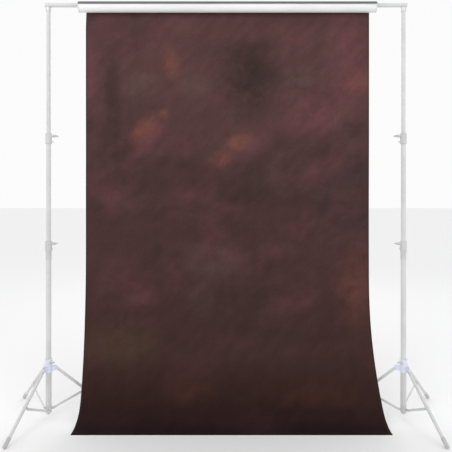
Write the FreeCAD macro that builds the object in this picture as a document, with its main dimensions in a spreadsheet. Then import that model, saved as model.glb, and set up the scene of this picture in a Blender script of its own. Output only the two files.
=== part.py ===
import FreeCAD, Part
import math
import os
import Sketcher
from FreeCAD import Placement, Rotation, Vector

# A roll backdrop: a cloth on a core, on a crossbar between two folding stands.
# Millimetres. +Z is up, +X runs along the crossbar and -Y is the side the cloth faces.

doc = FreeCAD.newDocument("RollBackdrop")
sizes = doc.addObject("Spreadsheet::Sheet", "Sizes")

drivingSizes = (
    ("standSpacing", 1912.6, "between the axes of the two columns"),
    ("tubeWall", 1.2, "wall of every steel tube"),
    ("bottomTubeRadius", 14, "outside, fixed section of a column"),
    ("bottomTubeFoot", 30.2, "height of its lower end"),
    ("bottomTubeTop", 925, "height of its upper end"),
    ("midTubeRadius", 12.5, "outside, middle section"),
    ("midTubeFoot", 775, "height of its lower end, inside the bottom tube"),
    ("midTubeTop", 1505, "height of its upper end"),
    ("topTubeRadius", 11, "outside, top section"),
    ("topTubeFoot", 1330, "height of its lower end, inside the middle tube"),
    ("topTubeTop", 2183, "height of its upper end"),
    ("slideGap", 0.05, "running clearance round a sliding tube"),
    ("bushHeight", 20, "nylon bush above the end of the outer tube"),
    ("lipHeight", 4, "lip that closes a clamp above its bush"),
    ("lipGap", 0.5, "between that lip and the sliding tube"),
    ("lowerHeadRadius", 17.8, "head of the lower clamp"),
    ("lowerHeadDepth", 30, "head below the end of the bottom tube"),
    ("upperHeadRadius", 16.8, "head of the upper clamp"),
    ("upperHeadDepth", 33, "head below the end of the middle tube"),
    ("skirtDepth", 46, "skirt of the lower clamp below its head"),
    ("skirtWall", 1.1, "wall of that skirt"),
    ("headChamfer", 1.6, "on the rims of a clamp's head"),
    ("rootDepth", 1, "bosses and lugs are sunk this far into what carries them"),
    ("knobHeight", 10, "knob axis above the end of the outer tube"),
    ("screwRadius", 3, "locking screw"),
    ("screwGap", 0.05, "running clearance of the screw"),
    ("screwTipGap", 0.3, "between a slack screw and its tube"),
    ("bossRadius", 7.5, "boss that the screw runs in"),
    ("lowerBossReach", 25, "end of that boss from the column's axis"),
    ("upperBossReach", 29.5, "the same on the upper clamp"),
    ("collarBossReach", 25, "the same on the leg collar"),
    ("knobHubRadius", 6.4, "hub of a knob"),
    ("knobHubLength", 12, "hub along the screw"),
    ("knobFaceGap", 0.4, "between the hub and its boss"),
    ("wingSpan", 34, "tip to tip of a knob's two wings"),
    ("wingThickness", 7, "wings across the screw"),
    ("wingReach", 20, "far edge of the wings from the boss"),
    ("wingTaper", 4, "far edge of a wing, inwards to its widest place"),
    ("wingNotch", 3, "dip in the middle of the far edge"),
    ("wingSoftness", 1.5, "rounding of the wings' edges"),
    ("lugShort", 4, "pinch lug of a clamp, short of the boss"),
    ("lugRise", 8, "that lug above the lower rim of the head"),
    ("barRadius", 11, "crossbar, outside"),
    ("barWall", 1.5, "wall of the crossbar"),
    ("barHeight", 2220, "height of the crossbar's axis"),
    ("barHalfLength", 975, "from the middle to an end"),
    ("barJoint", 325, "joint of two sections from the middle"),
    ("barCrown", 2, "closed end of an outer section"),
    ("ferruleLength", 120, "tube inside a joint of the crossbar"),
    ("ferruleGap", 0.05, "between a ferrule and the crossbar"),
    ("studRadius", 4.8, "stud on top of a column"),
    ("studHoleGap", 0.1, "round the stud in the crossbar"),
    ("studRise", 12.2, "stud above the crossbar's axis"),
    ("studChamfer", 1.2, "on the stud's tip"),
    ("fittingRadius", 13.8, "stud fitting under the crossbar"),
    ("fittingFootRadius", 11.6, "its lower rim, on the tube"),
    ("fittingTaper", 7, "its widening, from that rim up"),
    ("plugLength", 24, "plug of the stud fitting in the tube"),
    ("coreRadius", 27, "roll core, outside"),
    ("coreWall", 2, "wall of the core"),
    ("coreLength", 1600, "over its two end caps"),
    ("coreDrop", 11.5, "core's axis below the crossbar's axis"),
    ("coreShift", 8, "core's middle from the stands' middle, along X"),
    ("coreRest", 0.1, "between the crossbar and the hole that rests on it"),
    ("endCapRadius", 28, "collar of an end cap"),
    ("endCapLength", 6, "the same along the core"),
    ("endCapDisc", 3, "disc of an end cap"),
    ("endCapPlug", 20, "plug of an end cap inside the core"),
    ("endCapGap", 0.05, "between a cap and the core"),
    ("clothWidth", 1544, "cloth, side to side where it hangs straight"),
    ("clothThickness", 2, "cloth"),
    ("clothShift", 8, "cloth's middle from the stands' middle, along X"),
    ("clothLift", 0.4, "cloth clear of the core"),
    ("clothLap", 12, "degrees that the cloth laps over the top of the core"),
    ("bendTop", 800, "height where the cloth leaves the vertical"),
    ("bendRadius", 2500, "long forward bend"),
    ("bendAngle", 17, "degrees turned by the long bend"),
    ("flareLeft", 13, "cloth beyond its side at the hem, on the left"),
    ("flareLeftTop", 150, "height where that starts"),
    ("flareRight", 53, "the same on the right"),
    ("flareRightTop", 750, "height where that starts"),
    ("flareMiddle", 0.2, "share of a flare that is reached halfway down it"),
    ("hemRun", 20, "flat run of the cloth on the floor"),
    ("hemLift", 3, "underside of the hem above the floor"),
    ("stripAngle", 77, "degrees of the core that the retaining strip covers"),
    ("stripLean", 30, "degrees that its middle leans from the top to the front"),
    ("stripThickness", 1.2, "retaining strip"),
    ("stripGap", 0.3, "between the strip and the cloth"),
    ("hubFoot", 16, "height of the hub's lower end"),
    ("hubTop", 70, "height of the hub's upper end"),
    ("hubRadius", 15.6, "hub"),
    ("hubTipRadius", 5, "lower end of the hub's cone"),
    ("hubPivotRadius", 25, "brace pivot from the column's axis"),
    ("hubPivotHeight", 45, "height of that pivot"),
    ("lugThickness", 3, "single lug that a brace is pinned beside"),
    ("braceSide", 7.8, "middle of that lug beside the leg's axis, so that the brace passes the leg"),
    ("braceWidth", 12, "flat brace"),
    ("braceThickness", 2.5, "flat brace"),
    ("braceGap", 0.5, "between a brace and its lug"),
    ("pinRadius", 2.5, "pivot pins"),
    ("pinGap", 0.05, "running clearance of a pin"),
    ("pinHeadRadius", 4, "head of a pin"),
    ("pinHeadHeight", 1.6, "head of a pin"),
    ("legRadius", 8, "leg tube"),
    ("legLength", 385, "leg pivot to the centre of the foot's ball"),
    ("legPivotRadius", 41, "leg pivot from the column's axis"),
    ("legSpread", 48.6, "degrees between a spread leg and the column"),
    ("legAzimuth", 16, "degrees of the front leg outwards from -Y"),
    ("tongueThickness", 7, "flattened top of a leg"),
    ("tongueRadius", 7, "the same, round its pivot"),
    ("tongueLength", 22, "pivot to the round part of the leg"),
    ("clipAlong", 197, "brace clip from the leg's pivot"),
    ("clipOffset", 16.5, "brace pivot inside the leg's axis"),
    ("clipLength", 16, "band of the clip along the leg"),
    ("clipWall", 1.3, "wall of that band"),
    ("footRadius", 10, "rubber foot and its ball"),
    ("footFlat", 9, "centre of the ball above the flat that it stands on"),
    ("footLength", 42, "rubber foot from the ball's centre"),
    ("footGap", 0.05, "between a foot and its leg"),
    ("sleeveRadius", 15.5, "leg sleeve, outside"),
    ("sleeveFoot", 70.2, "height of the sleeve's lower end, on the hub"),
    ("sleeveTop", 318, "height of its upper end"),
    ("collarRadius", 20, "ring of the leg collar"),
    ("collarFoot", 243, "height of the ring's lower end"),
    ("collarTop", 314, "height of the ring's upper end"),
    ("collarKnobHeight", 302, "height of the collar's knob"),
    ("collarLugGap", 0.3, "each side of a leg's tongue"),
    ("collarLugWall", 3.5, "each of a pair of lugs"),
    ("collarLugHeight", 24, "lugs, top to bottom"),
)


def enter(alias, value, note):
    row = 1
    while sizes.getContents("A%d" % row):
        row += 1
    sizes.set("A%d" % row, note)
    sizes.set("B%d" % row, str(value))
    sizes.setAlias("B%d" % row, alias)


for alias, value, note in drivingSizes:
    enter(alias, value, note)
doc.recompute()

legNames = ("front", "rear", "inner")
legTurns = (0, 120, -120)
fromZtoX = Rotation(Vector(0, 1, 0), 90)
fromZtoY = Rotation(Vector(1, 0, 0), -90)
nodes = []


# A size is a sum of terms, such as "hubTop - hubFoot" or "2 * legRadius + 1".
def amount(words):
    total = 0.0
    for term in words.replace("- ", "+ -").split("+"):
        product = 1.0
        for factor in term.split("*"):
            name = factor.strip().lstrip("-")
            product *= float(name) if name[0].isdigit() else float(getattr(sizes, name))
        total += -product if term.strip().startswith("-") else product
    return total


def formula(words):
    parts = ["Sizes." + word if word[0].isalpha() else word for word in words.split()]
    return " ".join(parts)


def bind(feature, **properties):
    for name, words in properties.items():
        feature.setExpression(name, formula(words))
    return feature


# The brace pivot on a leg, as radius and height, with the leg at a given angle to the column.
def clipSpot(spread, pivotHeight):
    along = amount("clipAlong")
    offset = amount("clipOffset")
    radius = amount("legPivotRadius") + along * math.sin(spread) - offset * math.cos(spread)
    height = pivotHeight - along * math.cos(spread) - offset * math.sin(spread)
    return radius, height


# Sizes that follow from the others: the spread leg meets the floor, its brace fits, the collar
# slides up until the legs hang straight, and the columns stand so that the base is centred.
def enterDerivedSizes():
    spread = math.radians(amount("legSpread"))
    pivotHeight = amount("footFlat") + amount("legLength") * math.cos(spread)
    radius, height = clipSpot(spread, pivotHeight)
    run = radius - amount("hubPivotRadius")
    rise = height - amount("hubPivotHeight")
    reach = math.hypot(run, rise)
    inset = amount("legPivotRadius - clipOffset - hubPivotRadius")
    folded = amount("hubPivotHeight + clipAlong") + math.sqrt(reach ** 2 - inset ** 2)
    footReach = amount("legPivotRadius") + amount("legLength") * math.sin(spread)
    front = math.cos(math.radians(amount("legAzimuth") + legTurns[0]))
    rear = -math.cos(math.radians(amount("legAzimuth") + legTurns[1]))
    enter("legPivotHeight", pivotHeight, "leg pivot above the floor")
    enter("braceLength", reach, "between the two pivots of a brace")
    enter("braceRise", math.degrees(math.atan2(rise, run)), "degrees of a spread brace above level")
    enter("braceSwing", math.degrees(math.acos(inset / reach) - math.atan2(rise, run)), "its fold, degrees")
    enter("foldTravel", folded - pivotHeight, "slide of the leg collar")
    enter("setBack", footReach * (front - rear) / 2, "columns behind the middle of the base")
    doc.recompute()


def originPart(body, role):
    return [part for part in body.Origin.OriginFeatures if part.Role == role][0]


def newBody(label):
    body = doc.addObject("PartDesign::Body", label)
    body.Label = label
    nodes.append(body)
    return body


def newSketch(body, role):
    sketch = body.newObject("Sketcher::SketchObject", body.Name + "_outline")
    sketch.AttachmentSupport = [(originPart(body, role), "")]
    sketch.MapMode = "FlatFace"
    return sketch


def fixDistance(sketch, kind, index, words):
    value = amount(words)
    if abs(value) < 1e-9:
        axis = -2 if kind == "DistanceX" else -1
        sketch.addConstraint(Sketcher.Constraint("PointOnObject", index, 1, axis))
        return
    place = sketch.addConstraint(Sketcher.Constraint(kind, -1, 1, index, 1, value))
    sketch.setExpression("Constraints[%d]" % place, formula(words))


# A closed outline of straight lines whose corners are bound to the sheet.
def drawOutline(sketch, corners):
    spots = [Vector(amount(across), amount(up), 0) for across, up in corners]
    count = len(corners)
    for index in range(count):
        sketch.addGeometry(Part.LineSegment(spots[index], spots[(index + 1) % count]), False)
    for index in range(count):
        sketch.addConstraint(Sketcher.Constraint("Coincident", index, 2, (index + 1) % count, 1))
    for index, (across, up) in enumerate(corners):
        fixDistance(sketch, "DistanceX", index, across)
        fixDistance(sketch, "DistanceY", index, up)


def drawCircle(sketch, radius):
    circle = Part.Circle(Vector(0, 0, 0), Vector(0, 0, 1), amount(radius))
    index = sketch.addGeometry(circle, False)
    sketch.addConstraint(Sketcher.Constraint("Coincident", index, 3, -1, 1))
    place = sketch.addConstraint(Sketcher.Constraint("Radius", index, amount(radius)))
    sketch.setExpression("Constraints[%d]" % place, formula(radius))


# A piece turned about its own Z axis.
def turned(label, corners):
    body = newBody(label)
    sketch = newSketch(body, "XZ_Plane")
    drawOutline(sketch, corners)
    solid = body.newObject("PartDesign::Revolution", label + "_turned")
    solid.Profile = sketch
    solid.ReferenceAxis = (sketch, ["V_Axis"])
    solid.Angle = 360
    return body


# A plain tube along its own Z axis.
def tube(label, outer, inner, length):
    body = newBody(label)
    sketch = newSketch(body, "XY_Plane")
    drawCircle(sketch, outer)
    drawCircle(sketch, inner)
    solid = body.newObject("PartDesign::Pad", label + "_pad")
    solid.Profile = sketch
    bind(solid, Length=length)
    return body


def block(body, name, size, corner, frame=Placement(), cut=False):
    kind = "PartDesign::SubtractiveBox" if cut else "PartDesign::AdditiveBox"
    piece = body.newObject(kind, body.Name + "_" + name)
    length, width, height = size
    bind(piece, Length=length, Width=width, Height=height)
    piece.Placement = frame.multiply(Placement(Vector(*corner), Rotation()))
    return piece


def rod(body, name, radius, length, start, turn=Rotation(), frame=Placement(), cut=False):
    kind = "PartDesign::SubtractiveCylinder" if cut else "PartDesign::AdditiveCylinder"
    piece = body.newObject(kind, body.Name + "_" + name)
    bind(piece, Radius=radius, Height=length)
    piece.Placement = frame.multiply(Placement(Vector(*start), turn))
    return piece


def softenRims(body, words):
    doc.recompute()
    base = body.Tip
    rims = []
    top = base.Shape.BoundBox.ZMax
    foot = base.Shape.BoundBox.ZMin
    reach = base.Shape.BoundBox.XMax
    for index, edge in enumerate(base.Shape.Edges, start=1):
        box = edge.BoundBox
        flat = box.ZLength < 1e-6 and min(abs(box.ZMax - top), abs(box.ZMin - foot)) < 1e-6
        if flat and abs(box.XMax - reach) < 1e-6:
            rims.append("Edge%d" % index)
    chamfer = body.newObject("PartDesign::Chamfer", body.Name + "_rims")
    chamfer.Base = (base, rims)
    bind(chamfer, Size=words)


# ---- the columns

# The clamp's local origin is the end of the tube that it sits on.
def clamp(label, outer, inner, headRadius, headDepth, bossReach, skirt):
    foot = headDepth + " + skirtDepth" if skirt else headDepth
    drop = amount(foot)
    corners = [(outer, "0")]
    base = "0"
    if skirt:
        corners += [(outer + " + skirtWall", "0"), (outer + " + skirtWall", "skirtDepth")]
        base = "skirtDepth"
    head = base + " + " + headDepth + " + bushHeight + lipHeight"
    corners += [
        (headRadius + " - headChamfer", base),
        (headRadius, base + " + headChamfer"),
        (headRadius, head + " - headChamfer"),
        (headRadius + " - headChamfer", head),
        (inner + " + lipGap", head),
        (inner + " + lipGap", head + " - lipHeight"),
        (outer, head + " - lipHeight"),
    ]
    body = turned(label, corners)
    knobLevel = drop + amount("knobHeight")
    root = amount(outer + " + rootDepth")
    bossLength = bossReach + " - " + outer + " - rootDepth"
    rod(body, "boss", "bossRadius", bossLength, (root, 0, knobLevel), fromZtoX)
    lugLevel = amount(base + " + lugRise")
    block(body, "lug", (bossLength + " - lugShort", "bossRadius", "bossRadius"),
          (root, -amount("bossRadius") / 2, lugLevel))
    rod(body, "screw_hole", "screwRadius + screwGap", bossReach, (0, 0, knobLevel), fromZtoX, cut=True)
    rod(body, "bore", outer, foot + " + bushHeight", (0, 0, 0), cut=True)
    return body, drop


def bush(label, outer, inner):
    body = tube(label, outer, inner + " + slideGap", "bushHeight")
    rod(body, "screw_hole", "screwRadius + 4 * screwGap", outer + " + 2",
        (0, 0, amount("knobHeight")), fromZtoX, cut=True)
    return body


# The knob's local X axis is its screw, measured from the column's axis.
def knob(label, tubeRadius, bossReach):
    body = newBody(label)
    hubStart = bossReach + " + knobFaceGap"
    wingStart = hubStart + " + 0.5 * knobHubLength"
    tip = bossReach + " + wingReach"
    root = "knobHubRadius - rootDepth"
    rod(body, "hub", "knobHubRadius", "knobHubLength", (amount(hubStart), 0, 0), fromZtoX)
    sketch = newSketch(body, "XY_Plane")
    upper = [(tip + " - wingNotch", "0"), (tip, "0.5 * wingSpan - wingNotch"),
             (tip + " - wingTaper", "0.5 * wingSpan"), (wingStart, root)]
    lower = [(wingStart, "rootDepth - knobHubRadius"), (tip + " - wingTaper", "0 - 0.5 * wingSpan"),
             (tip, "wingNotch - 0.5 * wingSpan")]
    drawOutline(sketch, upper + lower)
    wings = body.newObject("PartDesign::Pad", label + "_wings")
    wings.Profile = sketch
    wings.SideType = "Symmetric"
    bind(wings, Length="wingThickness")
    doc.recompute()
    rims = [
        "Edge%d" % index for index, edge in enumerate(wings.Shape.Edges, start=1)
        if edge.BoundBox.XMin > amount(wingStart + " + rootDepth") and edge.BoundBox.ZLength < 1e-6
        and edge.BoundBox.YLength > amount("rootDepth")
    ]
    soft = body.newObject("PartDesign::Fillet", label + "_soft")
    soft.Base = (wings, rims)
    bind(soft, Radius="wingSoftness")
    doc.recompute()
    rod(body, "screw", "screwRadius", hubStart + " + rootDepth - " + tubeRadius + " - screwTipGap",
        (amount(tubeRadius + " + screwTipGap"), 0, 0), fromZtoX)
    return body


def makeColumn(side, sign, axis):
    across = 0 if sign < 0 else 180
    inward = Rotation(Vector(0, 0, 1), across)

    def place(body, height):
        body.Placement = Placement(Vector(axis.x, axis.y, height), inward)

    bottom = tube("bottom_tube_" + side, "bottomTubeRadius", "bottomTubeRadius - tubeWall",
                  "bottomTubeTop - bottomTubeFoot")
    place(bottom, amount("bottomTubeFoot"))
    mid = tube("mid_tube_" + side, "midTubeRadius", "midTubeRadius - tubeWall",
               "midTubeTop - midTubeFoot")
    place(mid, amount("midTubeFoot"))
    top = tube("top_tube_" + side, "topTubeRadius", "topTubeRadius - tubeWall",
               "topTubeTop - topTubeFoot")
    place(top, amount("topTubeFoot"))

    lower, drop = clamp("lower_clamp_" + side, "bottomTubeRadius", "midTubeRadius",
                        "lowerHeadRadius", "lowerHeadDepth", "lowerBossReach", True)
    place(lower, amount("bottomTubeTop") - drop)
    upper, drop = clamp("upper_clamp_" + side, "midTubeRadius", "topTubeRadius",
                        "upperHeadRadius", "upperHeadDepth", "upperBossReach", False)
    place(upper, amount("midTubeTop") - drop)
    place(bush("lower_bush_" + side, "bottomTubeRadius", "midTubeRadius"), amount("bottomTubeTop"))
    place(bush("upper_bush_" + side, "midTubeRadius", "topTubeRadius"), amount("midTubeTop"))
    place(knob("lower_knob_" + side, "midTubeRadius", "lowerBossReach"),
          amount("bottomTubeTop + knobHeight"))
    place(knob("upper_knob_" + side, "topTubeRadius", "upperBossReach"),
          amount("midTubeTop + knobHeight"))

    neck = "plugLength + barHeight - barRadius - topTubeTop"
    tip = "plugLength + barHeight + studRise - topTubeTop"
    stud = turned("stud_" + side, [
        ("0", "0"), ("topTubeRadius - tubeWall", "0"), ("topTubeRadius - tubeWall", "plugLength"),
        ("fittingFootRadius", "plugLength"), ("fittingRadius", "plugLength + fittingTaper"),
        ("fittingRadius", neck + " - headChamfer"), ("fittingRadius - headChamfer", neck),
        ("studRadius", neck), ("studRadius", tip + " - studChamfer"),
        ("studRadius - studChamfer", tip), ("0", tip)])
    place(stud, amount("topTubeTop - plugLength"))


# ---- the crossbar, the roll and the cloth

def makeCrossbar():
    height = amount("barHeight")
    outer = "barHalfLength - barJoint"
    for side, sign in (("left", -1), ("right", 1)):
        section = tube("crossbar_" + side, "barRadius", "barRadius - barWall", outer)
        rod(section, "crown", "barRadius", "barCrown", (0, 0, amount(outer + " - barCrown")))
        holeSpot = amount("standSpacing") / 2 - amount("barJoint")
        hole = rod(section, "stud_hole", "studRadius + studHoleGap", "3 * barRadius",
                   (-1.5 * amount("barRadius"), 0, holeSpot), fromZtoX, cut=True)
        section.Tip = hole
        section.Placement = Placement(Vector(sign * amount("barJoint"), 0, height),
                                      Rotation(Vector(0, 1, 0), 90 * sign))
        ferrule = tube("crossbar_ferrule_" + side, "barRadius - barWall - ferruleGap",
                       "barRadius - 2 * barWall - ferruleGap", "ferruleLength")
        start = sign * amount("barJoint") - amount("ferruleLength") / 2
        ferrule.Placement = Placement(Vector(start, 0, height), fromZtoX)
    middle = tube("crossbar_middle", "barRadius", "barRadius - barWall", "2 * barJoint")
    middle.Placement = Placement(Vector(-amount("barJoint"), 0, height), fromZtoX)


def makeRoll():
    axisHeight = amount("barHeight - coreDrop")
    middle = amount("coreShift")
    half = amount("coreLength") / 2
    core = tube("roll_core", "coreRadius", "coreRadius - coreWall",
                "coreLength - 2 * endCapDisc - 2 * endCapGap")
    core.Placement = Placement(Vector(middle - half + amount("endCapDisc + endCapGap"), 0, axisHeight),
                               fromZtoX)
    for side, sign in (("left", -1), ("right", 1)):
        hole = "barRadius + coreDrop + coreRest"
        plug = "coreRadius - coreWall - endCapGap"
        collar = "coreRadius + endCapGap"
        cap = turned("end_cap_" + side, [
            (hole, "0"), ("endCapRadius", "0"), ("endCapRadius", "endCapLength"), (collar, "endCapLength"),
            (collar, "endCapDisc"), (plug, "endCapDisc"), (plug, "endCapPlug"),
            (plug + " - coreWall", "endCapPlug"), (plug + " - coreWall", "endCapDisc"),
            (hole, "endCapDisc")])
        cap.Placement = Placement(Vector(middle + sign * half, 0, axisHeight),
                                  Rotation(Vector(0, 1, 0), -90 * sign))


def makeStrip():
    solid = doc.addObject("Part::Cylinder", "strip_outside")
    hollow = doc.addObject("Part::Cylinder", "strip_inside")
    inside = "coreRadius + clothLift + clothThickness + stripGap"
    bind(solid, Radius=inside + " + stripThickness", Height="coreLength", Angle="stripAngle")
    bind(hollow, Radius=inside, Height="coreLength", Angle="stripAngle")
    strip = doc.addObject("Part::Cut", "retaining_strip")
    strip.Base = solid
    strip.Tool = hollow
    end = amount("coreShift") + amount("coreLength") / 2
    leaning = Rotation(Vector(0, 0, 1), -amount("stripAngle") / 2 - amount("stripLean"))
    upright = Rotation(Vector(0, 1, 0), -90)
    strip.Placement = Placement(Vector(end, 0, amount("barHeight - coreDrop")), upright.multiply(leaning))
    nodes.append(strip)


# The cloth's section lies in the YZ plane. Each face of the cloth is two arcs about the core
# and below, joined by straight runs, and the two faces are one thickness apart.
def clothFace(offset):
    coreHeight = amount("barHeight - coreDrop")
    radius = amount("coreRadius + clothLift") + offset
    lap = math.radians(amount("clothLap"))
    bend = math.radians(amount("bendAngle"))
    bendTop = amount("bendTop")
    longRadius = amount("bendRadius") + offset
    longCentre = Vector(0, amount("coreRadius + clothLift") - amount("bendRadius"), bendTop)
    floor = amount("hemLift + clothThickness") - offset
    breakPoint = longCentre + Vector(0, math.cos(bend), -math.sin(bend)) * longRadius
    frontLevel = amount("hemLift + clothThickness")
    frontBreak = longCentre + Vector(0, math.cos(bend), -math.sin(bend)) * amount("bendRadius")
    shortRadius = (frontBreak.z - frontLevel) / (1 - math.sin(bend))
    shortCentre = frontBreak - Vector(0, math.cos(bend), -math.sin(bend)) * shortRadius
    touch = Vector(0, shortCentre.y, floor)

    def onArc(centre, reach, angle):
        return centre + Vector(0, math.cos(angle), math.sin(angle)) * reach

    coreCentre = Vector(0, 0, coreHeight)
    lapStart = onArc(coreCentre, radius, math.pi / 2 + lap)
    lapMiddle = onArc(coreCentre, radius, math.pi / 4 + lap / 2)
    lapEnd = onArc(coreCentre, radius, 0)
    bendStart = Vector(0, radius, bendTop)
    bendMiddle = onArc(longCentre, longRadius, -bend / 2)
    turnMiddle = onArc(shortCentre, shortRadius + offset, -(bend + math.pi / 2) / 2)
    hem = touch - Vector(0, amount("hemRun"), 0)
    edges = [
        Part.Arc(lapStart, lapMiddle, lapEnd).toShape(),
        Part.LineSegment(lapEnd, bendStart).toShape(),
        Part.Arc(bendStart, bendMiddle, breakPoint).toShape(),
        Part.Arc(breakPoint, turnMiddle, touch).toShape(),
        Part.LineSegment(touch, hem).toShape(),
    ]
    return edges, lapStart, hem


# The cloth seen from the front: straight sides that flare towards the hem.
def clothFront():
    half = amount("clothWidth") / 2
    top = Vector(half, 0, amount("barHeight + coreRadius"))
    sides = []
    for name, sign in (("Left", -1), ("Right", 1)):
        flare = amount("flare" + name)
        start = Vector(half, 0, amount("flare" + name + "Top"))
        middle = Vector(half + flare * amount("flareMiddle"), 0, start.z / 2)
        hem = Vector(half + flare, 0, 0)
        points = [Vector(sign * point.x, 0, point.z) for point in (top, start, middle, hem)]
        sides.append((points[0], points[3], [
            Part.LineSegment(points[0], points[1]).toShape(),
            Part.Arc(points[1], points[2], points[3]).toShape(),
        ]))
    (leftTop, leftHem, left), (rightTop, rightHem, right) = sides
    ends = [Part.LineSegment(leftTop, rightTop).toShape(), Part.LineSegment(leftHem, rightHem).toShape()]
    return Part.Face(Part.Wire(Part.__sortEdges__(left + right + ends)))


def makeCloth():
    front, frontTop, frontHem = clothFace(0)
    back, backTop, backHem = clothFace(amount("clothThickness"))
    ends = [Part.LineSegment(frontTop, backTop).toShape(), Part.LineSegment(frontHem, backHem).toShape()]
    outline = Part.Wire(Part.__sortEdges__(front + back + ends))
    widest = amount("clothWidth + 2 * flareRight")
    section = Part.Face(outline)
    section.translate(Vector(-widest / 2, 0, 0))
    deepest = amount("barHeight")
    view = clothFront()
    view.translate(Vector(0, -deepest / 2, 0))
    solid = section.extrude(Vector(widest, 0, 0)).common(view.extrude(Vector(0, deepest, 0)))
    cloth = doc.addObject("Part::Feature", "backdrop_cloth")
    cloth.Shape = solid.Solids[0]
    cloth.Placement = Placement(Vector(amount("clothShift"), 0, 0), Rotation())
    nodes.append(cloth)
    print("cloth length %.0f mm" % sum(edge.Length for edge in front))


# ---- the folding legs

def legHeading(sign, index):
    azimuth = math.radians(amount("legAzimuth") + legTurns[index])
    return math.degrees(math.atan2(-math.cos(azimuth), sign * math.sin(azimuth)))


# Each leg's own frame round the column, counted from the front leg's.
def legFrame(sign, index):
    turn = legHeading(sign, index) - legHeading(sign, 0)
    return Placement(Vector(), Rotation(Vector(0, 0, 1), turn))


def makeHub(side, sign, axis):
    hub = turned("brace_hub_" + side, [
        ("0", "0"), ("hubTipRadius", "0"), ("hubRadius", "hubRadius - hubTipRadius"),
        ("hubRadius", "hubTop - hubFoot"), ("bottomTubeRadius", "hubTop - hubFoot"),
        ("bottomTubeRadius", "bottomTubeFoot - hubFoot"), ("0", "bottomTubeFoot - hubFoot")])
    level = amount("hubPivotHeight - hubFoot")
    half = amount("braceWidth") / 2
    wall = amount("lugThickness")
    start = amount("braceSide") - wall / 2
    reach = amount("hubPivotRadius")
    for index, name in enumerate(legNames):
        frame = legFrame(sign, index)
        block(hub, name + "_lug", ("hubPivotRadius - legRadius", "lugThickness", "braceWidth"),
              (amount("legRadius"), start, level - half), frame)
        rod(hub, name + "_nose", "0.5 * braceWidth", "lugThickness",
            (reach, start, level), fromZtoY, frame)
        rod(hub, name + "_pin_hole", "pinRadius + pinGap", "3 * lugThickness",
            (reach, start - wall, level), fromZtoY, frame, cut=True)
    rod(hub, "bore", "bottomTubeRadius", "hubTop - bottomTubeFoot",
        (0, 0, amount("bottomTubeFoot - hubFoot")), cut=True)
    hub.Placement = Placement(Vector(axis.x, axis.y, amount("hubFoot")),
                              Rotation(Vector(0, 0, 1), legHeading(sign, 0)))


# A shaft with a head at each end, along local Y, as Part primitives.
def pinSolids(label, length, start, spot):
    shaft = doc.addObject("Part::Cylinder", label + "_shaft")
    bind(shaft, Radius="pinRadius", Height=length)
    shaft.Placement = spot.multiply(Placement(Vector(0, start, 0), fromZtoY))
    solids = [shaft]
    for number, level in enumerate((start - amount("pinHeadHeight"), start + amount(length))):
        head = doc.addObject("Part::Cylinder", "%s_head_%d" % (label, number))
        bind(head, Radius="pinHeadRadius", Height="pinHeadHeight")
        head.Placement = spot.multiply(Placement(Vector(0, level, 0), fromZtoY))
        solids.append(head)
    return solids


def pinGroup(label, length, start, radius, height, sign, axis):
    solids = []
    for index, name in enumerate(legNames):
        heading = Rotation(Vector(0, 0, 1), legHeading(sign, index))
        spot = Placement(axis, heading).multiply(Placement(Vector(radius, 0, height), Rotation()))
        solids += pinSolids("%s_%s" % (label, name), length, start, spot)
    group = doc.addObject("Part::MultiFuse", label)
    group.Shapes = solids
    nodes.append(group)


def makeCollar(side, sign, axis):
    sleeve = tube("leg_sleeve_" + side, "sleeveRadius", "bottomTubeRadius + slideGap",
                  "sleeveTop - sleeveFoot")
    knobTurn = Rotation(Vector(0, 0, 1), legHeading(sign, 1) + 180)
    sleeve.Placement = Placement(Vector(axis.x, axis.y, amount("sleeveFoot")), knobTurn)
    rod(sleeve, "screw_hole", "screwRadius + 4 * screwGap", "2 * sleeveRadius",
        (0, 0, amount("collarKnobHeight - sleeveFoot")), fromZtoX, cut=True)

    collar = newBody("leg_collar_" + side)
    rod(collar, "ring", "collarRadius", "collarTop - collarFoot", (0, 0, 0))
    softenRims(collar, "headChamfer")
    halfTongue = amount("tongueThickness") / 2 + amount("collarLugGap")
    wall = amount("collarLugWall")
    level = amount("legPivotHeight - collarFoot")
    half = amount("collarLugHeight") / 2
    reach = amount("legPivotRadius")
    for index, name in enumerate(legNames):
        frame = legFrame(sign, index)
        for hand, start in (("near", -halfTongue - wall), ("far", halfTongue)):
            block(collar, "%s_%s_lug" % (name, hand),
                  ("legPivotRadius - sleeveRadius - rootDepth", "collarLugWall", "collarLugHeight"),
                  (amount("sleeveRadius + rootDepth"), start, level - half), frame)
            rod(collar, "%s_%s_nose" % (name, hand), "tongueRadius + rootDepth", "collarLugWall",
                (reach, start, level), fromZtoY, frame)
        rod(collar, name + "_pin_hole", "pinRadius + pinGap", "4 * tongueThickness",
            (reach, -2 * amount("tongueThickness"), level), fromZtoY, frame, cut=True)
    toKnob = legHeading(sign, 1) + 180 - legHeading(sign, 0)
    aside = Rotation(Vector(0, 0, 1), toKnob).multiply(fromZtoX)
    start = Rotation(Vector(0, 0, 1), toKnob).multVec(Vector(amount("sleeveRadius + rootDepth"), 0, 0))
    knobLevel = amount("collarKnobHeight - collarFoot")
    rod(collar, "boss", "bossRadius", "collarBossReach - sleeveRadius - rootDepth",
        (start.x, start.y, knobLevel), aside)
    rod(collar, "screw_hole", "screwRadius + screwGap", "2 * collarRadius",
        (0, 0, knobLevel), aside, cut=True)
    rod(collar, "bore", "sleeveRadius", "collarTop - collarFoot", (0, 0, 0), cut=True)
    collar.Placement = Placement(Vector(axis.x, axis.y, amount("collarFoot")),
                                 Rotation(Vector(0, 0, 1), legHeading(sign, 0)))

    handle = knob("collar_knob_" + side, "bottomTubeRadius", "collarBossReach")
    handle.Placement = Placement(Vector(axis.x, axis.y, amount("collarKnobHeight")), knobTurn)


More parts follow.
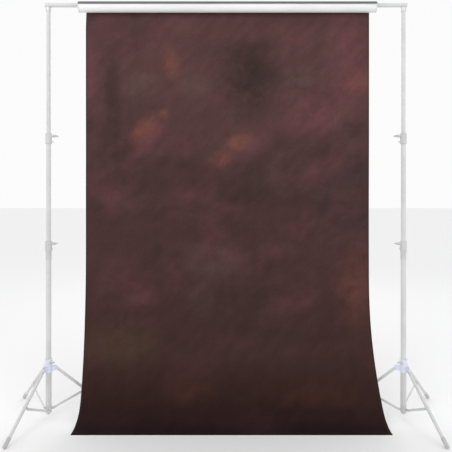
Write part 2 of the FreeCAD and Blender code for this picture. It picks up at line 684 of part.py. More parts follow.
# A leg hangs down from its pivot along local -Z, with the column on its -X side.
def makeLeg(name, side, spot):
    leg = newBody("leg_%s_%s" % (name, side))
    length = amount("legLength")
    end = amount("footRadius") / 2
    rod(leg, "tube", "legRadius", "legLength - tongueLength - 0.5 * footRadius", (0, 0, end - length))
    softenRims(leg, "headChamfer")
    half = amount("tongueThickness") / 2
    across = amount("tongueRadius")
    block(leg, "tongue", ("2 * tongueRadius", "tongueThickness", "tongueLength + lugShort"),
          (-across, -half, -amount("tongueLength + lugShort")))
    rod(leg, "tongue_end", "tongueRadius", "tongueThickness", (0, -half, 0), fromZtoY)
    rod(leg, "pin_hole", "pinRadius + pinGap", "4 * tongueThickness",
        (0, -4 * half, 0), fromZtoY, cut=True)
    level = -amount("clipAlong")
    offset = amount("clipOffset")
    rod(leg, "clip_band", "legRadius + clipWall", "clipLength", (0, 0, level - amount("clipLength") / 2))
    aside = amount("braceSide") - amount("lugThickness") / 2
    earHalf = amount("braceWidth") / 2
    block(leg, "clip_ear", ("clipOffset", "lugThickness", "braceWidth"), (-offset, aside, level - earHalf))
    rod(leg, "clip_nose", "0.5 * braceWidth", "lugThickness", (-offset, aside, level), fromZtoY)
    rod(leg, "clip_rivet", "pinHeadRadius", "pinHeadHeight",
        (-offset, aside - amount("pinHeadHeight"), level), fromZtoY)
    leg.Placement = spot

    foot = newBody("foot_%s_%s" % (name, side))
    rod(foot, "grip", "footRadius", "footLength", (0, 0, -length))
    softenRims(foot, "headChamfer")
    ball = foot.newObject("PartDesign::AdditiveSphere", foot.Name + "_ball")
    bind(ball, Radius="footRadius")
    ball.Placement = Placement(Vector(0, 0, -length), Rotation())
    rod(foot, "socket", "legRadius + footGap", "footLength", (0, 0, end - length), cut=True)
    ground = Placement(Vector(0, 0, -length), Rotation(Vector(0, 1, 0), amount("legSpread")))
    width = amount("2 * footRadius")
    block(foot, "flat", ("4 * footRadius", "4 * footRadius", "footRadius"),
          (-width, -width, -amount("footFlat + footRadius")), ground, cut=True)
    foot.Placement = spot


# A brace runs from its hub pin along local +X, on the +Y side of its lugs.
def makeBrace(name, side, spot):
    reach = amount("braceLength")
    brace = newBody("brace_%s_%s" % (name, side))
    half = amount("braceWidth") / 2
    near = amount("braceSide + braceGap") + amount("lugThickness") / 2
    block(brace, "strip", ("braceLength", "braceThickness", "braceWidth"), (0, near, -half))
    for end, start in (("hub_end", 0), ("leg_end", reach)):
        rod(brace, end, "0.5 * braceWidth", "braceThickness", (start, near, 0), fromZtoY)
    rod(brace, "rivet", "pinHeadRadius", "pinHeadHeight",
        (reach, near + amount("braceThickness"), 0), fromZtoY)
    rod(brace, "hub_hole", "pinRadius + pinGap", "braceThickness", (0, near, 0), fromZtoY, cut=True)
    brace.Placement = spot.multiply(Placement(Vector(), Rotation(Vector(0, 1, 0), -amount("braceRise"))))


def makeTripod(side, sign, axis):
    makeHub(side, sign, axis)
    makeCollar(side, sign, axis)
    pinLength = "tongueThickness + 2 * collarLugGap + 2 * collarLugWall"
    pinGroup("leg_pins_" + side, pinLength, -amount(pinLength) / 2,
             amount("legPivotRadius"), amount("legPivotHeight"), sign, axis)
    hubPin = "lugThickness + braceGap + braceThickness + braceGap"
    pinGroup("brace_pins_" + side, hubPin, amount("braceSide") - amount("lugThickness") / 2,
             amount("hubPivotRadius"), amount("hubPivotHeight"), sign, axis)
    for index, name in enumerate(legNames):
        heading = Placement(axis, Rotation(Vector(0, 0, 1), legHeading(sign, index)))
        lean = Rotation(Vector(0, 1, 0), -amount("legSpread"))
        top = Placement(Vector(amount("legPivotRadius"), 0, amount("legPivotHeight")), lean)
        makeLeg(name, side, heading.multiply(top))
        foot = Placement(Vector(amount("hubPivotRadius"), 0, amount("hubPivotHeight")), Rotation())
        makeBrace(name, side, heading.multiply(foot))


def checkModel():
    doc.recompute()
    for item in doc.Objects:
        if "Invalid" in item.State or "Error" in item.State:
            raise RuntimeError("%s is %s" % (item.Label, item.State))
    for node in nodes:
        if node.Shape.isNull() or not node.Shape.isValid():
            raise RuntimeError(node.Label + " has no valid shape")


def writeParts():
    os.makedirs("parts", exist_ok=True)
    for node in nodes:
        node.Shape.exportStep("parts/%s.step" % node.Label)
    print("%d nodes written" % len(nodes))


enterDerivedSizes()
for stand, direction in (("left", -1), ("right", 1)):
    columnAxis = Vector(direction * amount("standSpacing") / 2, 0, 0)
    makeColumn(stand, direction, columnAxis)
    makeTripod(stand, direction, columnAxis)
makeCrossbar()
makeRoll()
makeStrip()
makeCloth()
shift = Placement(Vector(0, amount("setBack"), 0), Rotation())
for node in nodes:
    node.Placement = shift.multiply(node.Placement)
checkModel()
writeParts()
for alias in ("setBack", "legPivotHeight", "braceLength", "braceRise", "braceSwing", "foldTravel"):
    print("%s %.4f" % (alias, amount(alias)))
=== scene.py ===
import math
import bmesh
import bpy
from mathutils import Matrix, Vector, noise


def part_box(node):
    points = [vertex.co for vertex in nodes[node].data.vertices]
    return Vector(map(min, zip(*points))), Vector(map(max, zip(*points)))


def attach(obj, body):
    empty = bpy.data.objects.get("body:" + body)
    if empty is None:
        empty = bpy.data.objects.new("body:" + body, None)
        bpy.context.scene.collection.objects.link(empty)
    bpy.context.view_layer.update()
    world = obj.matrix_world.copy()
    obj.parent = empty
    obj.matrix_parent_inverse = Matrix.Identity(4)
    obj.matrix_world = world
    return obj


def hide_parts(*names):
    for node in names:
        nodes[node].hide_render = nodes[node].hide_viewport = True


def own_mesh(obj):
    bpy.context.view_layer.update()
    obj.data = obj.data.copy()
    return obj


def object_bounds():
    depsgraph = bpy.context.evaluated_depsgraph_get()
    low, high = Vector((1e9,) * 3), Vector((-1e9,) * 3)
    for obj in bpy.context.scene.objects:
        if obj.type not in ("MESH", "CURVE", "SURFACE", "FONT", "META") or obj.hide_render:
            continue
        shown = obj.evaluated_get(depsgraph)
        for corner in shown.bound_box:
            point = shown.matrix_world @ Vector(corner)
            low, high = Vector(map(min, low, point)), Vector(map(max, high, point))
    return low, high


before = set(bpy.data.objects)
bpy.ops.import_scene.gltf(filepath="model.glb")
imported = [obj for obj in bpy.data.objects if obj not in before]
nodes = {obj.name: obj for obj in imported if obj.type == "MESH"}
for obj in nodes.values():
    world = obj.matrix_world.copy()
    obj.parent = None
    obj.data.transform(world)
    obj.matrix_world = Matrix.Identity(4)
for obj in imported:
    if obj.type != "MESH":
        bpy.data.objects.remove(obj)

# A mottled backdrop cloth on a roll core, on a crossbar between two folding stands.
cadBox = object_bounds()
scene = bpy.context.scene
scene.view_settings.view_transform = "Standard"


def corners(node):
    low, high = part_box(node)
    return Vector(low), Vector(high)


def middleOf(node):
    low, high = corners(node)
    return (low + high) / 2


columnY = middleOf("bottom_tube_left").y
floorZ = cadBox[0].z

# ---- camera, floor and lights

view = {
    "distance": 2.6,      # from the columns
    "height": 1.224,
    "lens": 38.41,
    "sensor": 36,
    "shift": -0.0796,
    "farEnd": 60,
}


def placeCamera():
    data = bpy.data.cameras.new("camera")
    data.lens = view["lens"]
    data.sensor_width = view["sensor"]
    data.shift_y = view["shift"]
    data.clip_end = view["farEnd"]
    camera = bpy.data.objects.new("camera", data)
    scene.collection.objects.link(camera)
    camera.location = (0, columnY - view["distance"], view["height"])
    camera.rotation_euler = (math.radians(90), 0, 0)
    scene.camera = camera


studio = {
    "floorSize": 60,
    "floorColour": (0.90, 0.90, 0.905, 1),
    "floorRough": 0.9,
    "skyColour": (1.0, 1.0, 1.0, 1),
    "skyStrength": 0.97,
    "aimHeight": 1.1,                   # the lamps look at the columns, this high
}
lamps = {
    "key": {"place": (-2.4, -3.6, 3.4), "size": 2.2, "power": 34},
    "fill": {"place": (2.8, -3.2, 2.2), "size": 2.6, "power": 14},
    "back": {"place": (0.4, 3.4, 3.2), "size": 2.4, "power": 20},
}


def buildStudio():
    bm = bmesh.new()
    bmesh.ops.create_grid(bm, x_segments=1, y_segments=1, size=studio["floorSize"] / 2)
    bmesh.ops.translate(bm, verts=bm.verts, vec=(0, 0, floorZ))
    floor = meshPiece("studioFloor", bm)
    paint = bpy.data.materials.new("paleFloor")
    paint.use_nodes = True
    shader = paint.node_tree.nodes["Principled BSDF"]
    shader.inputs["Base Color"].default_value = studio["floorColour"]
    shader.inputs["Roughness"].default_value = studio["floorRough"]
    floor.data.materials.append(paint)
    world = bpy.data.worlds.new("paleStudio")
    world.use_nodes = True
    scene.world = world
    sky = world.node_tree.nodes["Background"]
    sky.inputs["Color"].default_value = studio["skyColour"]
    sky.inputs["Strength"].default_value = studio["skyStrength"]
    for name, lamp in lamps.items():
        data = bpy.data.lights.new(name, "AREA")
        data.shape = "DISK"
        data.size = lamp["size"]
        data.energy = lamp["power"]
        light = bpy.data.objects.new(name, data)
        scene.collection.objects.link(light)
        light.location = lamp["place"]
        aim = Vector((0, columnY, studio["aimHeight"])) - light.location
        light.rotation_euler = aim.to_track_quat("-Z", "Y").to_euler()


# ---- mesh helpers

def meshPiece(name, bm, smooth=None):
    mesh = bpy.data.meshes.new(name)
    bm.to_mesh(mesh)
    bm.free()
    piece = bpy.data.objects.new(name, mesh)
    scene.collection.objects.link(piece)
    if smooth is not None:
        mesh.shade_smooth()
        mesh.set_sharp_from_angle(angle=math.radians(smooth))
    return piece


# ---- material helpers

def newMaterial(name, colour, roughness, metallic=0.0):
    material = bpy.data.materials.new(name)
    material.use_nodes = True
    shader = material.node_tree.nodes["Principled BSDF"]
    shader.inputs["Base Color"].default_value = (*colour, 1)
    shader.inputs["Roughness"].default_value = roughness
    shader.inputs["Metallic"].default_value = metallic
    return material, material.node_tree, shader


def addNode(tree, kind, settings=None, **values):
    node = tree.nodes.new(kind)
    for key, value in (settings or {}).items():
        setattr(node, key, value)
    for key, value in values.items():
        node.inputs[key].default_value = value
    return node


def mixColour(tree, factor, first, second, blend="MIX"):
    node = tree.nodes.new("ShaderNodeMix")
    node.data_type = "RGBA"
    node.blend_type = blend
    for socket, value in ((node.inputs[0], factor), (node.inputs[6], first), (node.inputs[7], second)):
        join(tree, value, socket)
    return node.outputs[2]


def join(tree, value, socket):
    if isinstance(value, bpy.types.NodeSocket):
        tree.links.new(value, socket)
    elif isinstance(value, tuple) and len(value) == 3 and socket.type == "RGBA":
        socket.default_value = (*value, 1)
    else:
        socket.default_value = value


def calculate(tree, operation, first, second=0.0, third=0.0, clamp=False):
    node = tree.nodes.new("ShaderNodeMath")
    node.operation = operation
    node.use_clamp = clamp
    for socket, value in zip(node.inputs, (first, second, third)):
        join(tree, value, socket)
    return node.outputs[0]


def remap(tree, value, fromLow, fromHigh, toLow=0.0, toHigh=1.0, smooth=True):
    node = tree.nodes.new("ShaderNodeMapRange")
    node.interpolation_type = "SMOOTHSTEP" if smooth else "LINEAR"
    for socket, number in zip(node.inputs, (value, fromLow, fromHigh, toLow, toHigh)):
        join(tree, number, socket)
    return node.outputs[0]


def noiseAt(tree, vector, scale, detail=3.0, roughness=0.55):
    node = addNode(tree, "ShaderNodeTexNoise", Scale=scale, Detail=detail, Roughness=roughness)
    tree.links.new(vector, node.inputs["Vector"])
    return node.outputs["Fac"]


def mapped(tree, vector, scale=(1, 1, 1), turn=(0, 0, 0), place=(0, 0, 0)):
    node = addNode(tree, "ShaderNodeMapping", Scale=scale, Rotation=turn, Location=place)
    tree.links.new(vector, node.inputs["Vector"])
    return node.outputs["Vector"]


def objectSpot(tree):
    return tree.nodes.new("ShaderNodeTexCoord").outputs["Object"]


def addBump(tree, shader, height, strength, distance):
    bump = addNode(tree, "ShaderNodeBump", Strength=strength, Distance=distance)
    tree.links.new(height, bump.inputs["Height"])
    tree.links.new(bump.outputs["Normal"], shader.inputs["Normal"])


def newGroup(name, inputs, outputs):
    tree = bpy.data.node_groups.new(name, "ShaderNodeTree")
    kinds = {"value": "NodeSocketFloat", "vector": "NodeSocketVector", "colour": "NodeSocketColor"}
    for label, kind in inputs:
        tree.interface.new_socket(name=label, in_out="INPUT", socket_type=kinds[kind])
    for label, kind in outputs:
        tree.interface.new_socket(name=label, in_out="OUTPUT", socket_type=kinds[kind])
    return tree, tree.nodes.new("NodeGroupInput").outputs, tree.nodes.new("NodeGroupOutput").inputs


def useGroup(tree, group, **values):
    node = tree.nodes.new("ShaderNodeGroup")
    node.node_tree = group
    for label, value in values.items():
        join(tree, value, node.inputs[label])
    return node.outputs


# ---- shared effects

# Fine unevenness of a sprayed or moulded skin, and a soft change of shade over a hand's width.
def makeSkinGroup():
    tree, given, result = newGroup(
        "skinGrain", [("Spot", "vector"), ("Grain", "value"), ("Patch", "value")],
        [("Height", "value"), ("Shade", "value")])
    fine = tree.nodes.new("ShaderNodeTexNoise")
    tree.links.new(given["Spot"], fine.inputs["Vector"])
    tree.links.new(given["Grain"], fine.inputs["Scale"])
    fine.inputs["Detail"].default_value = 2.0
    soft = tree.nodes.new("ShaderNodeTexNoise")
    tree.links.new(given["Spot"], soft.inputs["Vector"])
    tree.links.new(given["Patch"], soft.inputs["Scale"])
    soft.inputs["Detail"].default_value = 3.0
    tree.links.new(fine.outputs["Fac"], result["Height"])
    tree.links.new(remap(tree, soft.outputs["Fac"], 0.3, 0.7), result["Shade"])
    return tree


rubMarks = {
    "lines": (420, 420, 2.2),           # to the metre, each way
    "gaps": (14, 14, 5),
    "colour": (0.42, 0.43, 0.44),
    "roughen": 0.2,
}


# Thin rubbed lines along Z, as a clamp leaves on a tube that slides through it.
def makeRubGroup():
    tree, given, result = newGroup("slideRub", [("Spot", "vector"), ("Amount", "value")], [("Rub", "value")])
    lines = noiseAt(tree, mapped(tree, given["Spot"], rubMarks["lines"]), 1.0, 2.0)
    broken = noiseAt(tree, mapped(tree, given["Spot"], rubMarks["gaps"]), 1.0, 3.0)
    marks = calculate(tree, "MULTIPLY", remap(tree, lines, 0.6, 0.72), remap(tree, broken, 0.5, 0.68))
    tree.links.new(calculate(tree, "MULTIPLY", marks, given["Amount"]), result["Rub"])
    return tree


dust = {
    "colour": (0.55, 0.53, 0.50),
    "facing": (0.25, 0.95),             # how far up a surface faces: no dust, all of it
    "patches": 34.0,                    # to the metre
    "roughen": 0.3,
}


# Dust that settles unevenly on what faces up.
def makeDustGroup():
    tree, given, result = newGroup("settledDust", [("Spot", "vector"), ("Amount", "value")],
                                   [("Dust", "value")])
    facing = tree.nodes.new("ShaderNodeNewGeometry")
    split = tree.nodes.new("ShaderNodeSeparateXYZ")
    tree.links.new(facing.outputs["Normal"], split.inputs[0])
    up = remap(tree, split.outputs["Z"], *dust["facing"])
    uneven = remap(tree, noiseAt(tree, given["Spot"], dust["patches"], 4.0), 0.35, 0.7)
    settled = calculate(tree, "MULTIPLY", up, uneven)
    tree.links.new(calculate(tree, "MULTIPLY", settled, given["Amount"]), result["Dust"])
    return tree


skinGrain = makeSkinGroup()
slideRub = makeRubGroup()
settledDust = makeDustGroup()

# ---- finishes of the stands, the crossbar and the roll

finishes = {
    "tubeEnamel": {"colour": (0.66, 0.66, 0.663), "shade": (0.60, 0.60, 0.604), "rough": 0.34,
                   "grain": 420, "bump": 0.05, "rub": 0.5, "coat": 0.25, "dust": 0.35},
    "collarNylon": {"colour": (0.75, 0.775, 0.90), "shade": (0.70, 0.72, 0.85), "rough": 0.46,
                    "grain": 900, "bump": 0.12, "rub": 0.0, "coat": 0.0, "dust": 0.35},
    "clampNylon": {"colour": (0.60, 0.60, 0.603), "shade": (0.55, 0.55, 0.554), "rough": 0.48,
                   "grain": 900, "bump": 0.14, "rub": 0.0, "coat": 0.0, "dust": 0.35},
    "knobNylon": {"colour": (0.575, 0.575, 0.58), "shade": (0.52, 0.52, 0.525), "rough": 0.42,
                  "grain": 800, "bump": 0.12, "rub": 0.0, "coat": 0.0, "dust": 0.35},
    "footRubber": {"colour": (0.55, 0.55, 0.555), "shade": (0.46, 0.46, 0.465), "rough": 0.72,
                   "grain": 500, "bump": 0.2, "rub": 0.0, "coat": 0.0, "dust": 0.35},
    "bushNylon": {"colour": (0.72, 0.72, 0.69), "shade": (0.66, 0.66, 0.63), "rough": 0.5,
                  "grain": 600, "bump": 0.08, "rub": 0.0, "coat": 0.0, "dust": 0.35},
    "capNylon": {"colour": (0.78, 0.785, 0.785), "shade": (0.72, 0.725, 0.725), "rough": 0.4,
                 "grain": 800, "bump": 0.1, "rub": 0.0, "coat": 0.0, "dust": 0.35},
    "stripNylon": {"colour": (0.10, 0.108, 0.106), "shade": (0.13, 0.14, 0.137), "rough": 0.5,
                   "grain": 600, "bump": 0.15, "rub": 0.0, "coat": 0.0, "dust": 0.1},
}


moulded = {
    "patch": 9.0,                       # soft changes of shade to the metre
    "roughSwing": (-0.05, 0.07),
    "coatRough": 0.15,
    "relief": 0.0006,                   # metres of grain
}


def makeFinish(name):
    finish = finishes[name]
    material, tree, shader = newMaterial(name, finish["colour"], finish["rough"])
    spot = objectSpot(tree)
    skin = useGroup(tree, skinGrain, Spot=spot, Grain=finish["grain"], Patch=moulded["patch"])
    colour = mixColour(tree, skin["Shade"], finish["colour"], finish["shade"])
    ends = [finish["rough"] + swing for swing in moulded["roughSwing"]]
    rough = remap(tree, skin["Shade"], 0.0, 1.0, *ends)
    if finish["rub"]:
        rub = useGroup(tree, slideRub, Spot=spot, Amount=finish["rub"])["Rub"]
        colour = mixColour(tree, rub, colour, rubMarks["colour"])
        rough = calculate(tree, "MULTIPLY_ADD", rub, rubMarks["roughen"], rough)
    settled = useGroup(tree, settledDust, Spot=spot, Amount=finish["dust"])["Dust"]
    colour = mixColour(tree, settled, colour, dust["colour"])
    rough = calculate(tree, "MULTIPLY_ADD", settled, dust["roughen"], rough, clamp=True)
    tree.links.new(colour, shader.inputs["Base Color"])
    tree.links.new(rough, shader.inputs["Roughness"])
    shader.inputs["Coat Weight"].default_value = finish["coat"]
    shader.inputs["Coat Roughness"].default_value = moulded["coatRough"]
    addBump(tree, shader, skin["Height"], finish["bump"], moulded["relief"])
    return material


zinc = {
    "colour": (0.76, 0.765, 0.77),
    "dull": (0.66, 0.665, 0.67),
    "rough": (0.42, 0.60),
    "turning": (90, 90, 900),           # marks of the lathe to the metre, each way
    "patch": 60.0,
    "relief": 0.0003,
}


# Dull zinc plate over the fine marks of turning.
def makeZinc():
    material, tree, shader = newMaterial("zincSteel", zinc["colour"], zinc["rough"][0], 1.0)
    spot = objectSpot(tree)
    skin = useGroup(tree, skinGrain, Spot=spot, Grain=700.0, Patch=zinc["patch"])
    turned = noiseAt(tree, mapped(tree, spot, zinc["turning"]), 1.0, 2.0)
    colour = mixColour(tree, skin["Shade"], zinc["colour"], zinc["dull"])
    tree.links.new(colour, shader.inputs["Base Color"])
    tree.links.new(remap(tree, turned, 0.3, 0.7, *zinc["rough"]), shader.inputs["Roughness"])
    addBump(tree, shader, turned, 0.1, zinc["relief"])
    return material


coreTube = {
    "colour": (0.86, 0.865, 0.865),
    "dull": (0.80, 0.805, 0.805),
    "drawn": (0.74, 0.745, 0.75),
    "rough": 0.2,
    "roughSwing": (-0.05, 0.1),
    "lines": (1.2, 600, 600),           # drawn lines to the metre, each way
    "clouds": (5, 22, 22),
    "lineShade": 0.12,
    "relief": 0.0003,
}


# A smooth white tube: long faint lines along it and a soft uneven gloss.
def makeCoreWhite():
    material, tree, shader = newMaterial("coreWhite", coreTube["colour"], coreTube["rough"])
    spot = objectSpot(tree)
    lines = noiseAt(tree, mapped(tree, spot, coreTube["lines"]), 1.0, 3.0)
    cloudy = noiseAt(tree, mapped(tree, spot, coreTube["clouds"]), 1.0, 3.0)
    colour = mixColour(tree, remap(tree, cloudy, 0.35, 0.7), coreTube["colour"], coreTube["dull"])
    colour = mixColour(tree, calculate(tree, "MULTIPLY", lines, coreTube["lineShade"]), colour,
                       coreTube["drawn"])
    tree.links.new(colour, shader.inputs["Base Color"])
    ends = [coreTube["rough"] + swing for swing in coreTube["roughSwing"]]
    tree.links.new(remap(tree, lines, 0.3, 0.7, *ends), shader.inputs["Roughness"])
    addBump(tree, shader, lines, 0.06, coreTube["relief"])
    return material


sharpEdge = math.radians(34)
finishOf = (
    (("bottom_tube", "mid_tube", "top_tube", "leg_sleeve", "leg_front", "leg_rear", "leg_inner",
      "brace_front", "brace_rear", "brace_inner", "crossbar_left", "crossbar_right", "crossbar_middle"),
     "tubeEnamel"),
    (("leg_collar",), "collarNylon"),
    (("lower_clamp", "upper_clamp", "brace_hub"), "clampNylon"),
    (("lower_knob", "upper_knob", "collar_knob"), "knobNylon"),
    (("lower_bush", "upper_bush"), "bushNylon"),
    (("foot",), "footRubber"),
    (("end_cap",), "capNylon"),
    (("retaining_strip",), "stripNylon"),
)


def dressNodes():
    made = {name: makeFinish(name) for name in finishes}
    plated = makeZinc()
    core = makeCoreWhite()
    for name, node in nodes.items():
        chosen = plated
        for starts, finish in finishOf:
            if name.startswith(starts):
                chosen = made[finish]
        if name == "roll_core":
            chosen = core
        node.data.materials.clear()
        node.data.materials.append(chosen)
        node.data.shade_smooth()
        node.data.set_sharp_from_angle(angle=sharpEdge)


# ---- the cloth

cloth = {
    "thickness": 0.0011,
    "across": 150,                      # cells of the sheet
    "down": 230,
    "lap": math.radians(12),            # past the top of the core
    "bendTop": 0.80,                    # height where it leaves the vertical
    "bendRadius": 2.5,
    "bendAngle": math.radians(17),
    "hemRun": 0.02,                     # lies flat on the floor
    "lie": 0.0013,                      # middle of the cloth above the floor
    "inset": 0.001,                     # its middle below the solid's top
    "fold": 0.0035,                     # depth of its soft vertical folds
    "opens": (0.25, 1.1),               # lengths between which they open out
    "settles": (0.45, 0.12),            # and lengths before the hem between which they flatten
    "waves": ((9.5, 0.0, 2.2, 0.6), (21, 0.8, 3.0, 0.25)),  # turns across, down, stray, share
    "wander": (1.1, 0.35),              # how often the waves bend, across and down
    "loose": 1.6,                       # share of the folds that follow no wave
    "looseSize": (2.6, 0.5),            # and how often they come, across and down
    "edgeCurl": 0.005,
    "edgeBand": (0.62, 0.765),          # where the curl starts and is full, from the middle
    "edgeSize": 2.1,                    # how often it comes, down the edge
    "sideHem": 0.012,
    "bottomHem": 0.03,
    "pinch": 0.005,                     # how far the left top corner is drawn in
    "pinchRun": 0.15,                   # and over what length from the top edge
    "flare": {-1: 0.013, 1: 0.053},     # how far each side spreads at the hem
    "flareTop": {-1: 0.15, 1: 0.75},    # and the height where that starts
    "flarePower": 2.3,
}


# The middle of the cloth's thickness, from the top of the core down to the hem.
class ClothLine:
    def __init__(self):
        low, high = corners("backdrop_cloth")
        self.high = high
        flare = cloth["flare"]
        self.widest = high.x - low.x
        self.width = self.widest - flare[-1] - flare[1]
        self.middle = (high.x + low.x + flare[-1] - flare[1]) / 2
        self.coreZ = middleOf("roll_core").z
        self.reach = high.z - self.coreZ - cloth["inset"]
        self.floor = floorZ + cloth["lie"]
        bend = cloth["bendAngle"]
        self.longY = columnY + self.reach - cloth["bendRadius"]
        breakZ = cloth["bendTop"] - cloth["bendRadius"] * math.sin(bend)
        breakY = self.longY + cloth["bendRadius"] * math.cos(bend)
        self.short = (breakZ - self.floor) / (1 - math.sin(bend))
        self.shortY = breakY - self.short * math.cos(bend)
        self.shortZ = self.floor + self.short
        self.runs = (
            self.reach * (math.pi / 2 + cloth["lap"]),
            self.coreZ - cloth["bendTop"],
            cloth["bendRadius"] * bend,
            self.short * (math.pi / 2 - bend),
            cloth["hemRun"],
        )
        self.length = sum(self.runs)

    # How far a side stands out from the middle of the cloth, at that length and height.
    def halfWidth(self, side, along, height):
        share = min(max(1 - height / cloth["flareTop"][side], 0), 1)
        spread = cloth["flare"][side] * share ** cloth["flarePower"]
        drawn = max(1 - along / cloth["pinchRun"], 0) * cloth["pinch"] if side < 0 else 0
        return self.width / 2 + spread - drawn

    # The point at that length from the top edge, and the way that the cloth's back faces there.
    def at(self, along):
        run = 0
        while run < len(self.runs) - 1 and along > self.runs[run]:
            along -= self.runs[run]
            run += 1
        if run == 0:
            angle = math.pi / 2 + cloth["lap"] - along / self.reach
            return self.onArc(columnY, self.coreZ, self.reach, angle)
        if run == 1:
            return Vector((0, columnY + self.reach, self.coreZ - along)), Vector((0, 1, 0))
        if run == 2:
            radius = cloth["bendRadius"]
            return self.onArc(self.longY, cloth["bendTop"], radius, -along / radius)
        if run == 3:
            angle = -cloth["bendAngle"] - along / self.short
            return self.onArc(self.shortY, self.shortZ, self.short, angle)
        return Vector((0, self.shortY - along, self.floor)), Vector((0, 0, -1))

    def onArc(self, y, z, radius, angle):
        out = Vector((0, math.cos(angle), math.sin(angle)))
        return Vector((0, y, z)) + out * radius, out


def smoothStep(low, high, value):
    share = min(max((value - low) / (high - low), 0), 1)
    return share * share * (3 - 2 * share)


# How far the hanging cloth stands off its line: slack folds, and edges that curl a little.
def slack(across, along, length):
    hanging = smoothStep(*cloth["opens"], along)
    settled = 1 - smoothStep(length - cloth["settles"][0], length - cloth["settles"][1], along)
    wander = noise.noise(Vector((across * cloth["wander"][0], along * cloth["wander"][1], 4.0)))
    waves = sum(share * math.sin(across * turns + along * lean + stray * wander)
                for turns, lean, stray, share in cloth["waves"])
    loose = noise.noise(Vector((across * cloth["looseSize"][0], along * cloth["looseSize"][1], 9.0)))
    folds = cloth["fold"] * (waves + cloth["loose"] * loose)
    uneven = noise.noise(Vector((along * cloth["edgeSize"], math.copysign(3, across), 1.0)))
    curl = cloth["edgeCurl"] * smoothStep(*cloth["edgeBand"], abs(across)) * (0.3 + uneven)
    return (folds + curl) * hanging * settled


def buildCloth():
    line = ClothLine()
    bm = bmesh.new()
    bmesh.ops.create_grid(bm, x_segments=cloth["across"], y_segments=cloth["down"], size=0.5,
                          calc_uvs=False)
    uvLayer = bm.loops.layers.uv.new("clothUV")
    hem = bm.verts.layers.deform.verify()
    for face in bm.faces:
        for loop in face.loops:
            spot = loop.vert.co
            loop[uvLayer].uv = (spot.x + 0.5, spot.y + 0.5)
    for vert in bm.verts:
        across = vert.co.x * line.width
        along = (0.5 - vert.co.y) * line.length
        spot, out = line.at(along)
        spot += out * slack(across, along, line.length)
        spot.z = max(spot.z, line.floor)
        half = line.halfWidth(-1 if across < 0 else 1, along, spot.z)
        fromSide = line.width / 2 - abs(across)
        vert.co = (line.middle + across * half * 2 / line.width, spot.y, spot.z)
        folded = fromSide < cloth["sideHem"] or line.length - along < cloth["bottomHem"]
        vert[hem][0] = 1.0 if folded else 0.5
    bmesh.ops.recalc_face_normals(bm, faces=bm.faces)
    piece = meshPiece("backdropCloth", bm, smooth=60)
    piece.vertex_groups.new(name="hem")
    thicken = piece.modifiers.new("thickness", "SOLIDIFY")
    thicken.thickness = cloth["thickness"] * 2
    thicken.offset = 0
    thicken.vertex_group = "hem"
    piece.data.materials.append(makeClothPaint(line))
    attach(piece, "top_frame")
    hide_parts("backdrop_cloth")
    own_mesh(piece)


# ---- the cloth's paint

paint = {
    # Ground colours from the top edge to the hem, each at its share of the cloth's length. The darkening
    # down the cloth is partly the paint's own tone and partly painted shade, and the last stops are painted
    # shade where the cloth curves onto the floor.
    "ground": (
        (0.00, (0.086, 0.042, 0.041)),
        (0.12, (0.087, 0.043, 0.042)),
        (0.24, (0.080, 0.040, 0.039)),
        (0.34, (0.075, 0.037, 0.036)),
        (0.44, (0.059, 0.030, 0.029)),
        (0.60, (0.061, 0.030, 0.029)),
        (0.72, (0.052, 0.025, 0.024)),
        (0.82, (0.049, 0.024, 0.021)),
        # From this stop to the hem the darkening is painted shade on the curve down to the floor.
        (0.88, (0.035, 0.016, 0.014)),
        (0.96, (0.021, 0.010, 0.009)),
        (1.00, (0.012, 0.006, 0.005)),
    ),
    "rust": (0.185, 0.068, 0.048),
    "maroon": (0.142, 0.052, 0.060),
    "dark": (0.040, 0.024, 0.022),
    "coolDark": (0.044, 0.027, 0.028),
    "light": (0.112, 0.070, 0.062),
    "olive": (0.072, 0.044, 0.026),
    "ember": (0.060, 0.024, 0.016),
    "thread": (0.040, 0.025, 0.023),
    "edge": (0.028, 0.016, 0.015),
    # How the brush strays: bends to the metre, and metres to each side.
    "wander": (9.0, 0.07),
    "broadWander": (2.4, 0.20),
    "streakWander": (5.0, 0.03),
    "washFade": (1.55, 2.05),           # where the washes fade out, from the top edge
    "washSize": (2.6, 3.4, 1),          # washes to the metre, each way
    # Broad washes: seed, colour, the noise between which one starts and is full, and its strength.
    "washes": (
        (0, "maroon", (0.48, 0.74), 0.55),
        (7, "dark", (0.50, 0.76), 0.7),
        (13, "light", (0.54, 0.80), 0.4),
    ),
    # Streaks of a wide brush: tilt, streaks to the metre each way, and their swing of shade.
    "streaks": (
        (0, (2.0, 14, 1), 0.05),
        (0, (24, 2.2, 1), 0.05),
        (38, (5, 22, 1), 0.10),
        (-32, (22, 6, 1), 0.07),
    ),
    "grain": 110.0,                     # to the metre
    "grainSwing": 0.10,
    "rough": 0.92,
    "sheen": 0.02,
    "sheenRough": 0.5,
    "specular": 0.08,
    "threads": 820,                     # to the metre
    "slubs": ((16, 900, 1), (900, 16, 1)),
    "slubSwing": 0.05,
    "slubLift": 0.8,                    # of a thread's own height
    "stitchLift": 1.5,
    "relief": 0.0004,                   # metres of weave
    "seamPlace": 0.85,                  # of the hem's depth
    "seamLine": (0.0012, 0.0003),       # metres from a line of stitches: none, full
    "seamShade": 0.7,
    "stitch": 0.002,                    # half the length of a stitch and its gap
    "stitchEnds": (0.0003, 0.0009),
    "edgeBand": (0.007, 0.001),         # metres from the side where it starts to darken, and is darkest
    "edgeShade": 0.7,
}

